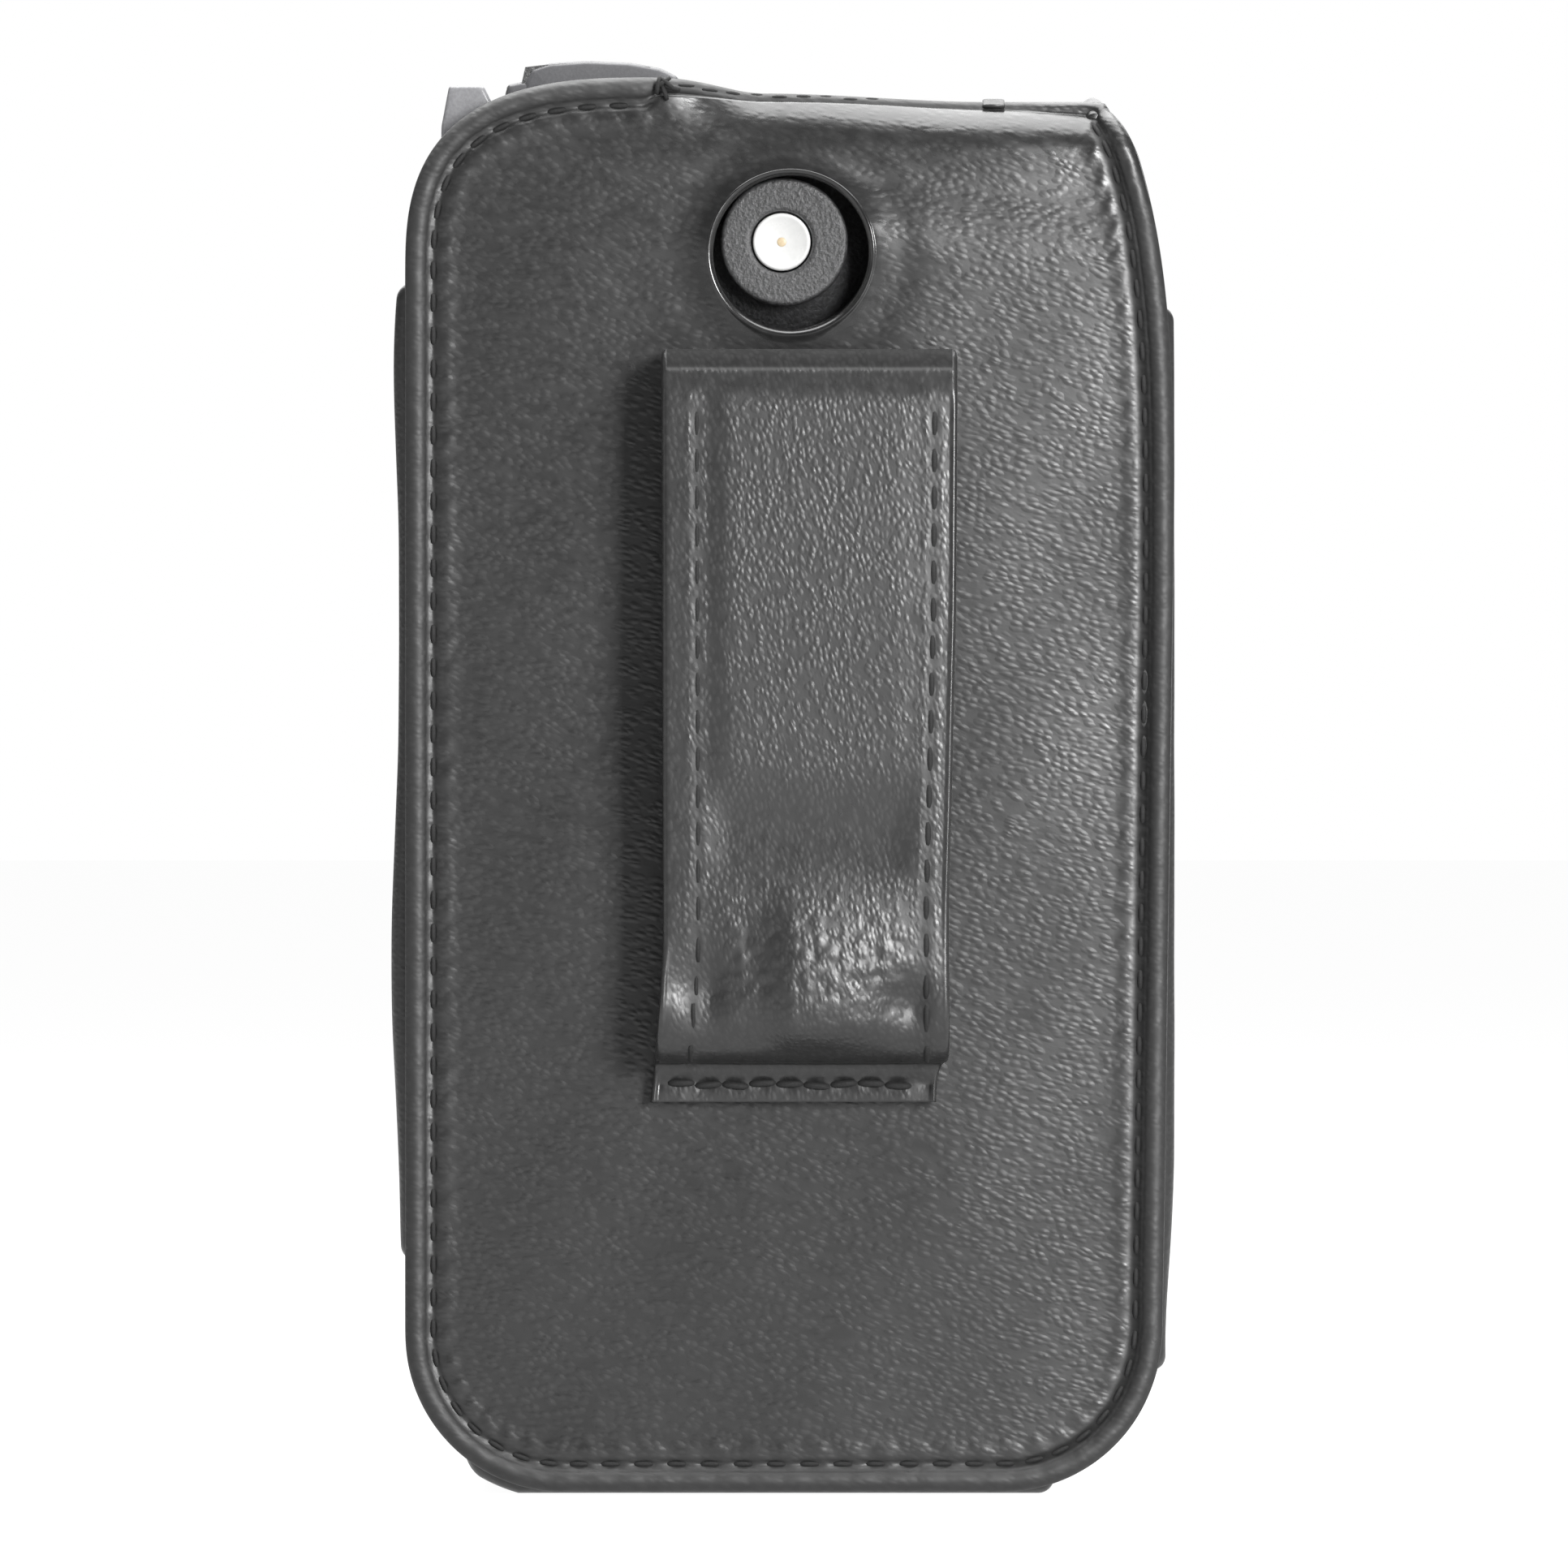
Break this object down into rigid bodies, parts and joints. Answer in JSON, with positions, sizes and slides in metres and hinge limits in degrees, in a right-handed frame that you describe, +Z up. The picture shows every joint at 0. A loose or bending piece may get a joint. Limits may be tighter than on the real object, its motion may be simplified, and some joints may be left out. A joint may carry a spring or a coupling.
{
  "type": "leather belt-loop case",
  "caption": "Sewn leather case with rolled edges, a belt loop and a round push-button port on its back, a moulded inner shell and a strap that closes over the open top.",
  "frame": {"origin": "centre of the flat base that the case stands on", "axes": "+Z up the case; the back with the port and belt loop faces -Y; +X to the right seen from the back, as in the picture"},
  "size_m": [0.0638, 0.0362, 0.1168],
  "materials": {
    "grain_leather": "dark grey pebbled grain, semi-gloss",
    "gusset_leather": "dark grey smooth leather",
    "suede_lining": "black suede nap",
    "fibreboard": "brown fibreboard",
    "moulded_plastic": "dark grey, fine moulded grain",
    "white_plastic": "white, dished, satin gloss",
    "black_thread": "black waxed thread",
    "felt": "black felt",
    "plated_steel": "nickel plated"
  },
  "bodies": {
    "case": {"back_panel": "grain_leather", "back_board": "fibreboard", "port_former_ring": "moulded_plastic", "back_roll": "grain_leather", "back_seam_thread": "black_thread", "front_panel": "grain_leather", "front_board": "fibreboard", "front_keeper": "plated_steel", "front_lining": "suede_lining", "front_roll": "grain_leather", "front_seam_thread": "black_thread", "left_gusset": "gusset_leather", "right_gusset": "gusset_leather", "bottom_gusset": "gusset_leather", "inner_shell": "moulded_plastic", "floor_pad": "felt", "button_spring": "plated_steel", "belt_loop": "grain_leather", "belt_loop_lining": "suede_lining", "loop_left_thread": "black_thread", "loop_right_thread": "black_thread", "loop_foot_thread": "black_thread", "loop_head_thread": "black_thread"},
    "strap": {"closing_strap": "grain_leather", "strap_lining": "suede_lining", "strap_roll": "grain_leather", "strap_thread": "black_thread", "strap_magnet": "plated_steel"},
    "button": {"call_button": "white_plastic", "button_clip": "plated_steel"}
  },
  "joints": [
    {"name": "strap_hinge", "type": "hinge", "parent": "case", "child": "strap", "pos_m": [0.0218, -0.00833, 0.11398], "axis": [1, 0, 0], "range_deg": [0, 160]},
    {"name": "button_slide", "type": "slide", "parent": "case", "child": "button", "axis": [0, 1, 0], "range_m": [0, 0.0008], "stiffness_N_per_m": 300, "deforming": ["button_spring"]}
  ]
}
